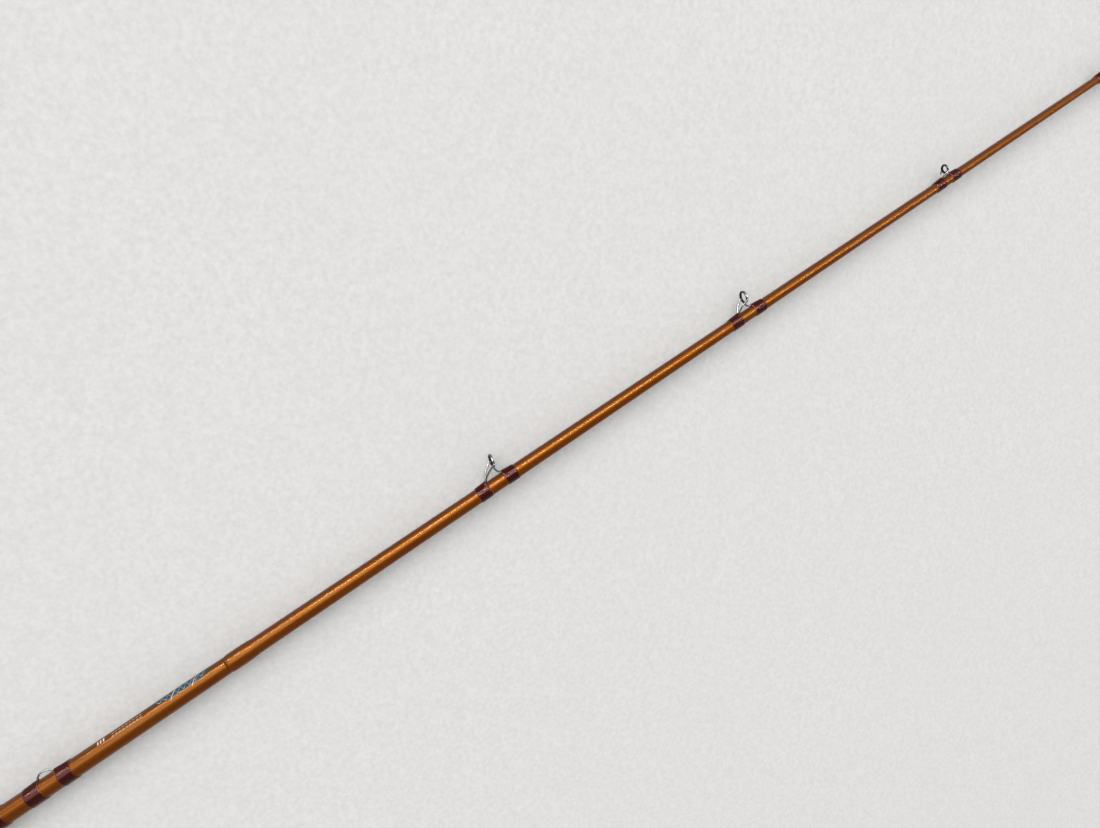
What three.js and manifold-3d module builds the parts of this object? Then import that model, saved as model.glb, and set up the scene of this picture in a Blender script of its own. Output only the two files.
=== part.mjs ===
// A two-piece glass-fibre spinning rod, built up as it is on a rod maker's bench.
// Millimetres. +X runs from butt to tip along the blank, +Y is the side that carries
// the guides and the reel, +Z is up as the rod lies. The origin is the centre of the
// butt cap's flat end.
import * as THREE from 'three';
import { mergeVertices } from 'three/addons/utils/BufferGeometryUtils.js';
import Module from 'manifold-3d';

const wasm = await Module();
wasm.setup();

// ---- Driving dimensions ----------------------------------------------------------

const SLIM_FACETS = 16;
const STOUT_FACETS = 24;
const WIRE_FACETS = 6;

// Outside diameter of the blank at stations along the rod.
const BUTT_TAPER = [[8, 12.7], [400, 12.2], [548.6, 11.2]];
const TIP_TAPER = [[549, 10.9], [751, 9.77], [963.6, 8.2], [1154, 6.94], [1321.6, 5.92], [1820, 2.6]];
const BLANK_WALL = 1.15;
const TIP_END_WALL = 0.7;

const FERRULE_SEAM = 549;
const SPIGOT_LENGTH = 62;
const SPIGOT_BURIED = 50;
const SPIGOT_RADIUS = 4.15;
const SPIGOT_CLEARANCE = 0.08;
const HOOP_LENGTH = 19;
const HOOP_THICKNESS = 0.5;

const CAP_RADIUS = 13.5;
const CAP_LENGTH = 22;
const CAP_FLOOR = 6;
const TENON_RADIUS = 10;
const GRIP_BORE = 6.6;
const GLUE_GAP = 0.1;
const END_GAP = 0.3;

const SEAT_START = 180;
const SEAT_END = 300;
const BARREL_RADIUS = 9.5;
const BARREL_BORE = 7.05;
const BED_HEIGHT = 8.3;
const BED_START = 208;
const BED_END = 248;
const KEYWAY_DEPTH = 0.3;
const KEYWAY_END = 12;
const HOOD_BORE = 9.65;
const HOOD_RADIUS = 11;
const HOOD_OFFSET = 5;
const POCKET_RADIUS = 9.6;
const POCKET_DEPTH = 15;
const HOOD_WALL = 1.5;
const HOOD_TAPER = 0.6;
const FIXED_HOOD_LENGTH = 26;
const MOVING_HOOD_START = 250;
const MOVING_HOOD_LENGTH = 22;
const ADJUSTING_NUT_LENGTH = 11;
const LOCK_NUT_LENGTH = 7;
const NUT_RADIUS = 11.2;
const NUT_FLUTE = 0.5;

const FOREGRIP_END = 387;
const CHECK_END = 391;
const FORE_WRAP_END = 400;

const WRAP_THICKNESS = 0.5;
const FIT_GAP = 0.08;
const FOOT_GAP = 0.15;

// Hook keeper: two wrapped feet and a low wire arch between them.
const KEEPER = { at: 430.3, buttWrap: [415, 424.5], tipWrap: [436, 444.6], rise: 3.6, wire: 1.1 };

// The label is centred on the guides' line; its edges are in degrees from +Z towards +Y.
const LABEL = { start: 500, length: 40, from: 45, to: 135, thickness: 0.2 };

// Line guides from butt to tip. at: middle of the guide; ring: outside radius of the
// silver hoop; height: ring centre above the blank; shift: ring centre ahead of the
// middle; span: middle to each wrap; wrap: length of each wrap; wire: wire diameter.
const GUIDES = [
  { at: 751, ring: 4.6, height: 11.5, shift: 4.6, span: 6.5, wrap: 8.5, wire: 1.3 },
  { at: 963.6, ring: 4.6, height: 9.2, shift: 2.8, span: 6, wrap: 8.7, wire: 1.25 },
  { at: 1154, ring: 3.5, height: 5.6, shift: 1.3, span: 3.6, wrap: 7.8, wire: 1.15 },
  { at: 1321.6, ring: 3.35, height: 5.3, shift: 1.2, span: 3.5, wrap: 7.6, wire: 1.1 },
  { at: 1472, ring: 3.25, height: 5.1, shift: 1.1, span: 3.4, wrap: 7.4, wire: 1.05 },
  { at: 1607, ring: 3.15, height: 4.9, shift: 1, span: 3.3, wrap: 7.2, wire: 1 },
  { at: 1727, ring: 3.05, height: 4.8, shift: 1, span: 3.2, wrap: 7, wire: 1 },
];
const RING_LEAN = THREE.MathUtils.degToRad(14);
const HOOP_WALL = 0.45;
const INSERT_WALL = 0.85;
const INSERT_GAP = 0.06;
const HOOP_WIDTH = 1.5;

const TIP_TOP = { tubeStart: 1806, tubeEnd: 1821, ringAt: 1826.6, height: 4.7, ring: 3.1, wire: 1 };
const TIP_WRAP = [1798, 1805.7];

// ---- Finishes --------------------------------------------------------------------

function finish(color, roughness, metalness) {
  return new THREE.MeshStandardMaterial({ color, roughness, metalness });
}

const AMBER_GLASS = finish(0x8a4718, 0.18, 0);
const MAROON_THREAD = finish(0x3c1714, 0.2, 0);
const CORK = finish(0xc49a68, 0.85, 0);
const BLACK_RUBBER = finish(0x1a1a1a, 0.7, 0);
const BLACK_ALLOY = finish(0x202022, 0.32, 0.8);
const STEEL = finish(0xb8bcc0, 0.22, 1);
const BLACK_CERAMIC = finish(0x0a0a0b, 0.08, 0);
const FIBRE = finish(0xb9a988, 0.8, 0);
const BLUE_LABEL = finish(0x4d8fb0, 0.4, 0);

// ---- Shaping ---------------------------------------------------------------------

const SECTION_TO_ROD = new THREE.Matrix4().makeBasis(
  new THREE.Vector3(0, 1, 0),
  new THREE.Vector3(0, 0, 1),
  new THREE.Vector3(1, 0, 0),
);

// A solid turned about the rod's axis from an outline of [x, radius] points.
function turned(outline, facets = SLIM_FACETS) {
  const points = outline.map(([x, radius]) => new THREE.Vector2(radius, x));
  const geometry = new THREE.LatheGeometry(points, facets);
  geometry.rotateZ(-Math.PI / 2);
  geometry.rotateX(Math.PI / facets);
  return geometry;
}

// A turned tube: the outer outline, closed by a bore that may taper.
function sleeve(outer, boreStart, boreEnd = boreStart, facets = SLIM_FACETS) {
  const [startX] = outer[0];
  const [endX] = outer[outer.length - 1];
  return turned([...outer, [endX, boreEnd], [startX, boreStart], outer[0]], facets);
}

// A section drawn as (y, z), pushed along the rod from start.
function alongRod(section, start, length) {
  const geometry = new THREE.ExtrudeGeometry(section, { depth: length, bevelEnabled: false });
  geometry.applyMatrix4(SECTION_TO_ROD);
  geometry.translate(start, 0, 0);
  return geometry;
}

function polygon(radius, sides) {
  const corners = [];
  for (let i = 0; i < sides; i += 1) {
    const angle = ((i + 0.5) * 2 * Math.PI) / sides;
    corners.push(new THREE.Vector2(radius * Math.cos(angle), radius * Math.sin(angle)));
  }
  return corners;
}

// Round wire along a smooth curve through the points.
function bentWire(points, diameter, steps) {
  const path = new THREE.CatmullRomCurve3(points.map((p) => new THREE.Vector3(...p)));
  const section = new THREE.Shape(polygon(diameter / 2, WIRE_FACETS));
  return new THREE.ExtrudeGeometry(section, { steps, extrudePath: path, bevelEnabled: false });
}

function toSolid(geometry) {
  const bare = geometry.clone();
  bare.deleteAttribute('normal');
  bare.deleteAttribute('uv');
  const merged = mergeVertices(bare, 1e-4);
  return new wasm.Manifold(new wasm.Mesh({
    numProp: 3,
    vertProperties: merged.attributes.position.array,
    triVerts: new Uint32Array(merged.index.array),
  }));
}

function toGeometry(solid) {
  const mesh = solid.getMesh();
  const geometry = new THREE.BufferGeometry();
  geometry.setAttribute('position', new THREE.BufferAttribute(mesh.vertProperties, 3));
  geometry.setIndex(new THREE.BufferAttribute(mesh.triVerts, 1));
  geometry.computeVertexNormals();
  return geometry;
}

function join(...geometries) {
  const solids = geometries.map(toSolid);
  return toGeometry(solids.reduce((sum, next) => sum.add(next)));
}

function cut(geometry, ...tools) {
  return toGeometry(tools.map(toSolid).reduce((rest, tool) => rest.subtract(tool), toSolid(geometry)));
}

function block(x0, x1, y0, y1, z0, z1) {
  const geometry = new THREE.BoxGeometry(x1 - x0, y1 - y0, z1 - z0);
  geometry.translate((x0 + x1) / 2, (y0 + y1) / 2, (z0 + z1) / 2);
  return geometry;
}

// ---- Assembly --------------------------------------------------------------------

const rod = new THREE.Group();

function add(name, geometry, material) {
  const mesh = new THREE.Mesh(geometry, material);
  mesh.name = name;
  rod.add(mesh);
}

// Blank radius at x, on whichever section covers it.
function blankRadius(x) {
  const taper = x < FERRULE_SEAM ? BUTT_TAPER : TIP_TAPER;
  let next = taper.findIndex(([station]) => station >= x);
  if (next < 0) {
    next = taper.length - 1;
  }
  next = Math.max(next, 1);
  const [x0, d0] = taper[next - 1];
  const [x1, d1] = taper[next];
  return THREE.MathUtils.lerp(d0, d1, (x - x0) / (x1 - x0)) / 2;
}

// ---- Blank and ferrule -----------------------------------------------------------

function buttBlank() {
  const outer = BUTT_TAPER.map(([x, diameter]) => [x, diameter / 2]);
  const [startX, startRadius] = outer[0];
  const [endX] = outer[outer.length - 1];
  const spigotStart = FERRULE_SEAM - SPIGOT_BURIED;
  const socket = SPIGOT_RADIUS + SPIGOT_CLEARANCE;
  return turned([
    ...outer,
    [endX, socket],
    [spigotStart - END_GAP, socket],
    [startX, startRadius - BLANK_WALL],
    outer[0],
  ]);
}

function tipBlank() {
  const outer = TIP_TAPER.map(([x, diameter]) => [x, diameter / 2]);
  const [endX, endRadius] = outer[outer.length - 1];
  const socket = SPIGOT_RADIUS + SPIGOT_CLEARANCE;
  const socketEnd = FERRULE_SEAM + SPIGOT_LENGTH + 2;
  return turned([
    ...outer,
    [endX, endRadius - TIP_END_WALL],
    [1321.6, blankRadius(1321.6) - BLANK_WALL],
    [socketEnd, socket],
    [FERRULE_SEAM, socket],
    outer[0],
  ]);
}

add('butt_blank', buttBlank(), AMBER_GLASS);
add('tip_blank', tipBlank(), AMBER_GLASS);

add('ferrule_spigot', turned([
  [FERRULE_SEAM - SPIGOT_BURIED, 0],
  [FERRULE_SEAM - SPIGOT_BURIED, SPIGOT_RADIUS],
  [FERRULE_SEAM + SPIGOT_LENGTH - 1, SPIGOT_RADIUS],
  [FERRULE_SEAM + SPIGOT_LENGTH, SPIGOT_RADIUS - 0.8],
  [FERRULE_SEAM + SPIGOT_LENGTH, 0],
]), AMBER_GLASS);

function ferruleHoop() {
  const start = FERRULE_SEAM + 0.05;
  const end = start + HOOP_LENGTH;
  const inner = blankRadius(start) + FIT_GAP;
  return sleeve([
    [start, inner + 0.1],
    [start + 0.8, inner + HOOP_THICKNESS],
    [end - 5, inner + HOOP_THICKNESS - 0.1],
    [end, inner + 0.1],
  ], inner);
}

add('ferrule_hoop', ferruleHoop(), AMBER_GLASS);

// ---- Handle ----------------------------------------------------------------------

add('butt_cap', turned([
  [0, 0],
  [0, CAP_RADIUS - 1.8],
  [0.6, CAP_RADIUS - 0.6],
  [2, CAP_RADIUS],
  [CAP_LENGTH - 1, CAP_RADIUS],
  [CAP_LENGTH, CAP_RADIUS - 0.4],
  [CAP_LENGTH, TENON_RADIUS + GLUE_GAP],
  [CAP_FLOOR, TENON_RADIUS + GLUE_GAP],
  [CAP_FLOOR, 0],
], STOUT_FACETS), BLACK_RUBBER);

add('rear_grip', sleeve([
  [CAP_FLOOR + END_GAP, TENON_RADIUS],
  [CAP_LENGTH + END_GAP, TENON_RADIUS],
  [CAP_LENGTH + END_GAP, 13],
  [50, 12.6],
  [100, 11.3],
  [150, 11.5],
  [SEAT_START - 4, 11.9],
  [SEAT_START - END_GAP, 11.2],
], GRIP_BORE, GRIP_BORE, STOUT_FACETS), CORK);

add('foregrip', sleeve([
  [SEAT_END + END_GAP, 11],
  [SEAT_END + 6, 11.8],
  [325, 11.9],
  [350, 10.8],
  [375, 9.2],
  [FOREGRIP_END - 3, 8.7],
  [FOREGRIP_END, 8.1],
], GRIP_BORE, GRIP_BORE, STOUT_FACETS), CORK);

add('winding_check', sleeve([
  [FOREGRIP_END + END_GAP, 8],
  [FOREGRIP_END + 1.5, 8],
  [CHECK_END, 6.9],
], blankRadius(FOREGRIP_END) + GLUE_GAP), STEEL);

add('fore_wrap', sleeve([
  [CHECK_END + END_GAP, 6.45],
  [CHECK_END + 0.8, 6.65],
  [FORE_WRAP_END - 1, 6.65],
  [FORE_WRAP_END, 6.4],
], blankRadius(CHECK_END) + FIT_GAP), MAROON_THREAD);

// ---- Reel seat -------------------------------------------------------------------

// The barrel has a keyway flat milled along it, which stands a little proud between
// the hoods as the bed for the reel foot.
function seatBarrel() {
  const keyway = BED_HEIGHT - KEYWAY_DEPTH;
  const above = BARREL_RADIUS + 1;
  const side = BARREL_RADIUS;
  const barrel = sleeve([
    [SEAT_START, BARREL_RADIUS],
    [SEAT_END, BARREL_RADIUS],
  ], BARREL_BORE, BARREL_BORE, STOUT_FACETS);
  return cut(
    barrel,
    block(SEAT_START + KEYWAY_END, BED_START, keyway, above, -side, side),
    block(BED_START - 1, BED_END + 1, BED_HEIGHT, above, -side, side),
    block(BED_END, SEAT_END + 1, keyway, above, -side, side),
  );
}

add('seat_barrel', seatBarrel(), BLACK_ALLOY);

function seatBushing(start) {
  const inner = blankRadius(start) + GLUE_GAP;
  return sleeve([
    [start, BARREL_BORE - 0.12],
    [start + 14, BARREL_BORE - 0.12],
  ], inner, inner, STOUT_FACETS);
}

// A turned shape about a line HOOD_OFFSET above the rod's axis.
function offsetTurned(outline) {
  const rising = outline[0][0] < outline[outline.length - 1][0] ? outline : [...outline].reverse();
  const first = rising[0];
  const last = rising[rising.length - 1];
  const geometry = turned([[first[0], 0], ...rising, [last[0], 0]], STOUT_FACETS);
  geometry.translate(0, HOOD_OFFSET, 0);
  return geometry;
}

// A hood is a sleeve on the barrel with a raised pocket that opens towards the
// other hood. mouth and back are the x of its open and closed ends.
function hood(mouth, back, keyed) {
  const inward = Math.sign(back - mouth);
  const start = Math.min(mouth, back);
  const end = Math.max(mouth, back);
  const wall = POCKET_RADIUS + HOOD_WALL;
  const body = turned([[start, 0], [start, HOOD_RADIUS], [end, HOOD_RADIUS], [end, 0]], STOUT_FACETS);
  const cowl = offsetTurned([
    [mouth, wall],
    [mouth + inward * (POCKET_DEPTH + HOOD_WALL), wall - HOOD_TAPER],
    [back - inward, HOOD_RADIUS - HOOD_OFFSET],
  ]);
  const boreTool = turned([
    [start - 1, 0],
    [start - 1, HOOD_BORE],
    [end + 1, HOOD_BORE],
    [end + 1, 0],
  ], STOUT_FACETS);
  const key = block(start - 2, end + 2, BED_HEIGHT + 0.2, 2 * HOOD_RADIUS, -HOOD_RADIUS, HOOD_RADIUS);
  const bore = keyed ? cut(boreTool, key) : boreTool;
  const pocket = cut(
    offsetTurned([
      [mouth - inward, POCKET_RADIUS],
      [mouth + inward * POCKET_DEPTH, POCKET_RADIUS - HOOD_TAPER],
    ]),
    block(start - 2, end + 2, -2 * HOOD_RADIUS, BED_HEIGHT - 1, -2 * HOOD_RADIUS, 2 * HOOD_RADIUS),
  );
  return cut(join(body, cowl), bore, pocket);
}

const nutStart = MOVING_HOOD_START + MOVING_HOOD_LENGTH + END_GAP;
const lockStart = nutStart + ADJUSTING_NUT_LENGTH + END_GAP;

// A ring nut with shallow flutes for the fingers.
function flutedNut(start, length) {
  const outline = polygon(NUT_RADIUS, 2 * STOUT_FACETS).map((corner, i) => (
    i % 4 < 2 ? corner : corner.clone().setLength(NUT_RADIUS - NUT_FLUTE)
  ));
  const section = new THREE.Shape(outline);
  section.holes.push(new THREE.Path(polygon(HOOD_BORE, STOUT_FACETS)));
  return alongRod(section, start, length);
}

add('seat_bushing_rear', seatBushing(SEAT_START + 6), FIBRE);
add('seat_bushing_front', seatBushing(SEAT_END - 20), FIBRE);
add('fixed_hood', hood(SEAT_START + FIXED_HOOD_LENGTH, SEAT_START + 1, false), BLACK_ALLOY);
add('moving_hood', hood(MOVING_HOOD_START, MOVING_HOOD_START + MOVING_HOOD_LENGTH, true), BLACK_ALLOY);
add('adjusting_nut', flutedNut(nutStart, ADJUSTING_NUT_LENGTH), BLACK_ALLOY);
add('lock_nut', flutedNut(lockStart, LOCK_NUT_LENGTH), BLACK_ALLOY);

// ---- Thread wraps and feet -------------------------------------------------------

// A wrap of varnished thread with the tunnel for the guide foot that it binds down.
function footWrap(start, end, wire) {
  const radius = blankRadius(start);
  const inside = radius + FIT_GAP;
  const outside = radius + WRAP_THICKNESS;
  const tunnelHalf = footHalfWidth(wire) + FOOT_GAP;
  const tunnelTop = radius + footHeight(wire) + FOOT_GAP;
  const humpHalf = tunnelHalf + 0.1;
  const humpTop = tunnelTop + 0.35;
  const clearOf = (half) => (corner) => corner.x < 0 || Math.abs(corner.y) > half;
  const upperHalf = (corner) => corner.y > 0;
  const lowerHalf = (corner) => corner.y < 0;
  const outer = polygon(outside, SLIM_FACETS).filter(clearOf(humpHalf + 0.3));
  const inner = polygon(inside, SLIM_FACETS).filter(clearOf(tunnelHalf));
  const tunnelFoot = Math.sqrt(inside ** 2 - tunnelHalf ** 2);
  const section = new THREE.Shape([
    new THREE.Vector2(humpTop, -humpHalf),
    new THREE.Vector2(humpTop, humpHalf),
    ...outer.filter(upperHalf),
    ...outer.filter(lowerHalf),
  ]);
  section.holes.push(new THREE.Path([
    new THREE.Vector2(tunnelFoot, -tunnelHalf),
    new THREE.Vector2(tunnelTop, -tunnelHalf),
    new THREE.Vector2(tunnelTop, tunnelHalf),
    new THREE.Vector2(tunnelFoot, tunnelHalf),
    ...inner.filter(upperHalf),
    ...inner.filter(lowerHalf),
  ]));
  return alongRod(section, start, end - start);
}

function footHalfWidth(wire) {
  return wire * 0.62;
}

function footHeight(wire) {
  return wire * 0.8;
}

// A flattened foot from its root beside the guide to its feathered end.
function foot(root, end, wire) {
  const base = blankRadius(Math.min(root, end)) + 0.05;
  const side = new THREE.Shape([
    new THREE.Vector2(root, base),
    new THREE.Vector2(end, base),
    new THREE.Vector2(end, base + 0.3),
    new THREE.Vector2(root, base + footHeight(wire) - 0.05),
  ]);
  const width = 2 * footHalfWidth(wire);
  const geometry = new THREE.ExtrudeGeometry(side, { depth: width, bevelEnabled: false });
  geometry.translate(0, 0, -width / 2);
  return geometry;
}

// ---- Hook keeper -----------------------------------------------------------------

function hookKeeper() {
  const { buttWrap, tipWrap, rise, wire } = KEEPER;
  const low = blankRadius(buttWrap[0]) + footHeight(wire) - wire / 2;
  const [, rear] = buttWrap;
  const [front] = tipWrap;
  const arch = bentWire([
    [rear - 1.5, low, 0],
    [rear, low, 0],
    [rear + 3, low + rise * 0.8, 0],
    [KEEPER.at, low + rise, 0],
    [front - 3, low + rise * 0.8, 0],
    [front, low, 0],
    [front + 1.5, low, 0],
  ], wire, 12);
  const footing = blankRadius(rear) + 0.05;
  return join(
    cut(arch, block(rear - 4, front + 4, 0, footing, -wire, wire)),
    foot(rear + 0.3, buttWrap[0] + 1, wire),
    foot(front - 0.3, tipWrap[1] - 1, wire),
  );
}

add('hook_keeper', hookKeeper(), STEEL);
add('keeper_wrap_butt', footWrap(...KEEPER.buttWrap, KEEPER.wire), MAROON_THREAD);
add('keeper_wrap_tip', footWrap(...KEEPER.tipWrap, KEEPER.wire), MAROON_THREAD);

// ---- Label -----------------------------------------------------------------------

// A thin transfer bent round one side of the blank, between two angles from +Z.
function labelBand() {
  const inner = blankRadius(LABEL.start) + 0.05;
  const steps = 8;
  const arc = [];
  for (let i = 0; i <= steps; i += 1) {
    arc.push(THREE.MathUtils.degToRad(THREE.MathUtils.lerp(LABEL.from, LABEL.to, i / steps)));
  }
  const corner = (angle, radius) => new THREE.Vector2(radius * Math.sin(angle), radius * Math.cos(angle));
  const outside = arc.map((angle) => corner(angle, inner + LABEL.thickness));
  const inside = arc.map((angle) => corner(angle, inner)).reverse();
  return alongRod(new THREE.Shape([...outside, ...inside]), LABEL.start, LABEL.length);
}

add('label_band', labelBand(), BLUE_LABEL);

// ---- Line guides -----------------------------------------------------------------

// A ring about the line's path, leaning towards the tip, centred at (x, y).
function leaningRing(outer, wall, width, x, y) {
  const geometry = sleeve([
    [-width / 2, outer - 0.2],
    [-width / 4, outer],
    [width / 4, outer],
    [width / 2, outer - 0.2],
  ], outer - wall);
  geometry.rotateZ(-RING_LEAN);
  geometry.translate(x, y, 0);
  return geometry;
}

function insert(ring, x, y) {
  return leaningRing(ring - HOOP_WALL - INSERT_GAP, INSERT_WALL, HOOP_WIDTH + 0.5, x, y);
}

// A point of the leaning hoop: angle is measured from straight down.
function hoopPoint(radius, angle, x, y, side) {
  const drop = -radius * Math.cos(angle);
  return [x + drop * Math.sin(RING_LEAN), y + drop * Math.cos(RING_LEAN), side * radius * Math.sin(angle)];
}

const LEG_ANGLE = THREE.MathUtils.degToRad(72);

// Two legs from the ring's sides meet in the butt-side foot; one leg runs from the
// ring's lowest point into the tip-side foot.
function guideFrame({ at, ring, height, shift, span, wrap, wire }) {
  const surface = blankRadius(at - span - wrap);
  const x = at + shift;
  const y = blankRadius(at) + height;
  const low = surface + footHeight(wire) - wire / 2;
  const rearRoot = at - span;
  const tipRoot = at + span;
  const onHoop = ring - HOOP_WALL * 0.4;
  const spread = wire * 0.22;
  const legs = [-1, 1].map((side) => {
    const top = hoopPoint(onHoop, LEG_ANGLE, x, y, side);
    return bentWire([
      [rearRoot - 2, low, side * spread],
      [rearRoot, low, side * spread],
      [THREE.MathUtils.lerp(rearRoot, top[0], 0.45), THREE.MathUtils.lerp(low, top[1], 0.42), top[2] * 0.5],
      top,
    ], wire, 7);
  });
  const [bottomX, bottomY] = hoopPoint(onHoop, 0, x, y, 1);
  const brace = bentWire([
    [bottomX, bottomY, 0],
    [THREE.MathUtils.lerp(bottomX, tipRoot, 0.2), THREE.MathUtils.lerp(low, bottomY, 0.45), 0],
    [tipRoot, low, 0],
    [tipRoot + 2, low, 0],
  ], wire, 7);
  const footing = surface + 0.05;
  const legsAndBrace = cut(
    join(...legs, brace),
    block(at - span - wrap, at + span + wrap, 0, footing, -2 * wire, 2 * wire),
  );
  const hole = leaningRing(ring - HOOP_WALL + 0.02, ring - HOOP_WALL - 0.5, 4 * wire, x, y);
  return join(
    cut(legsAndBrace, hole),
    leaningRing(ring, HOOP_WALL, HOOP_WIDTH, x, y),
    foot(rearRoot + 0.3, rearRoot - wrap + 1, wire),
    foot(tipRoot - 0.3, tipRoot + wrap - 1, wire),
  );
}

GUIDES.forEach((guide, i) => {
  const name = `guide_${i + 1}`;
  const { at, ring, height, shift, span, wrap, wire } = guide;
  add(`${name}_frame`, guideFrame(guide), STEEL);
  add(`${name}_ring`, insert(ring, at + shift, blankRadius(at) + height), BLACK_CERAMIC);
  add(`${name}_wrap_butt`, footWrap(at - span - wrap, at - span, wire), MAROON_THREAD);
  add(`${name}_wrap_tip`, footWrap(at + span, at + span + wrap, wire), MAROON_THREAD);
});

// ---- Tip-top ---------------------------------------------------------------------

function tipTopFrame() {
  const { tubeStart, tubeEnd, ringAt, height, ring, wire } = TIP_TOP;
  const bore = blankRadius(tubeStart) + 0.1;
  const outer = bore + 0.45;
  const onHoop = ring - HOOP_WALL * 0.4;
  const tube = turned([
    [tubeStart, bore],
    [tubeStart, outer - 0.1],
    [tubeStart + 0.3, outer],
    [tubeEnd - 0.4, outer],
    [tubeEnd, outer - 0.4],
    [tubeEnd, 0],
    [tubeEnd - 0.7, 0],
    [tubeEnd - 0.7, bore],
    [tubeStart, bore],
  ]);
  const legs = [-1, 1].map((side) => {
    const top = hoopPoint(onHoop, LEG_ANGLE, ringAt, height, side);
    return bentWire([
      [tubeStart + 5, outer * 0.5, side * outer * 0.92],
      [tubeEnd - 4, outer * 0.6, side * outer * 0.92],
      [THREE.MathUtils.lerp(tubeEnd, ringAt, 0.2), height * 0.62, side * (outer + ring) * 0.52],
      top,
    ], wire, 7);
  });
  const [bottomX, bottomY] = hoopPoint(onHoop, 0, ringAt, height, 1);
  const brace = bentWire([
    [tubeEnd - 2.4, 0.3, 0],
    [tubeEnd + 1.6, 0.5, 0],
    [bottomX, bottomY, 0],
  ], wire, 5);
  const blankSpace = turned([
    [tubeStart - 1, 0],
    [tubeStart - 1, bore],
    [tubeEnd - 0.7, bore],
    [tubeEnd - 0.7, 0],
  ]);
  const hole = leaningRing(ring - HOOP_WALL + 0.02, ring - HOOP_WALL - 0.5, 4 * wire, ringAt, height);
  return join(
    cut(join(...legs, brace), blankSpace, hole),
    tube,
    leaningRing(ring, HOOP_WALL, HOOP_WIDTH, ringAt, height),
  );
}

add('tip_top_frame', tipTopFrame(), STEEL);
add('tip_top_ring', insert(TIP_TOP.ring, TIP_TOP.ringAt, TIP_TOP.height), BLACK_CERAMIC);
add('tip_top_wrap', sleeve([
  [TIP_WRAP[0], blankRadius(TIP_WRAP[0]) + 0.25],
  [TIP_WRAP[0] + 0.8, blankRadius(TIP_WRAP[0]) + 0.45],
  [TIP_WRAP[1] - 0.8, blankRadius(TIP_WRAP[0]) + 0.45],
  [TIP_WRAP[1], blankRadius(TIP_WRAP[0]) + 0.3],
], blankRadius(TIP_WRAP[0]) + FIT_GAP), MAROON_THREAD);

export default rod;
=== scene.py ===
import bisect
import math

import bmesh
import bpy
from mathutils import Matrix, Vector, noise


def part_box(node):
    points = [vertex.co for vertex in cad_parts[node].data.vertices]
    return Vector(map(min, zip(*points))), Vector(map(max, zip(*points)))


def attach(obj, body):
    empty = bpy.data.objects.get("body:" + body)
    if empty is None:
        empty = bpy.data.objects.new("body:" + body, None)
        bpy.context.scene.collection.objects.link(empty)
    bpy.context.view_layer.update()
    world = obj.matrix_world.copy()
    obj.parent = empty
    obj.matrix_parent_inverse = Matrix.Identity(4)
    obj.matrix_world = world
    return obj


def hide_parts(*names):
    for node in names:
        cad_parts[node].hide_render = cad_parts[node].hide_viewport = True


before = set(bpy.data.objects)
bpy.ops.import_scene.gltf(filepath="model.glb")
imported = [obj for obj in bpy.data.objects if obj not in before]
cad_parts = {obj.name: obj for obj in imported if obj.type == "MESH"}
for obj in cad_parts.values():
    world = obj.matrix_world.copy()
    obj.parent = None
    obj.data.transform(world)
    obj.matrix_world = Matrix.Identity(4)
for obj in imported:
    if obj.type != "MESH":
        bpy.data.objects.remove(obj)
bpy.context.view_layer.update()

# Sizes are in millimetres and become metres as each mesh is made. +X runs from butt to
# tip, +Y is the guide and reel side, and an angle round the rod is measured from +Y
# towards +Z.
MM = 0.001
TAU = 2 * math.pi

# Outside diameter of the two blanks at stations along the rod.
BUTT_TAPER = ((8, 12.7), (400, 12.2), (548.6, 11.2))
TIP_TAPER = ((549, 10.9), (751, 9.77), (963.6, 8.2), (1154, 6.94), (1321.6, 5.92), (1820, 2.6))
BUTT_START, BUTT_END = 8, 548.94
FERRULE_SEAM, TIP_END = 549, 1820
BLANK_WALL = 1.15

# The wire of each line guide, from butt to tip.
GUIDE_WIRES = (1.3, 1.25, 1.15, 1.1, 1.05, 1.0, 1.0)
THREAD_PITCH = 0.21
CORK_RING = 12.7
TAPE_PITCH = 5.2


# ---- Taking sizes from the frame ---------------------------------------------------

def span(node):
    """The node's low and high corners in millimetres."""
    low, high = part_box(node)
    return low / MM, high / MM


def rows_around(table, x):
    """The values on either side of x in a table of (x, value), and how far x is between."""
    after = bisect.bisect_left([station for station, _ in table], x)
    after = min(max(after, 1), len(table) - 1)
    (x0, first), (x1, second) = table[after - 1], table[after]
    return first, second, (x - x0) / (x1 - x0)


def blank_radius(x):
    """Outside radius of the blank that reaches x."""
    d0, d1, t = rows_around(BUTT_TAPER if x < FERRULE_SEAM - 0.2 else TIP_TAPER, x)
    return (d0 + (d1 - d0) * t) / 2


# ---- Shader building ---------------------------------------------------------------

class Nodes:
    """A node tree, with short calls that add a node and set or link its sockets."""

    def __init__(self, tree):
        self.tree = tree

    def node(self, kind, settings=None, **inputs):
        made = self.tree.nodes.new(kind)
        for key, value in (settings or {}).items():
            setattr(made, key, value)
        for key, value in inputs.items():
            self.feed(made.inputs[key.replace("_", " ")], value)
        return made

    def feed(self, socket, value):
        if isinstance(value, bpy.types.NodeSocket):
            self.tree.links.new(value, socket)
        else:
            socket.default_value = value

    def math(self, operation, a, b=0.0):
        made = self.node("ShaderNodeMath", {"operation": operation})
        self.feed(made.inputs[0], a)
        self.feed(made.inputs[1], b)
        return made.outputs[0]


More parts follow.
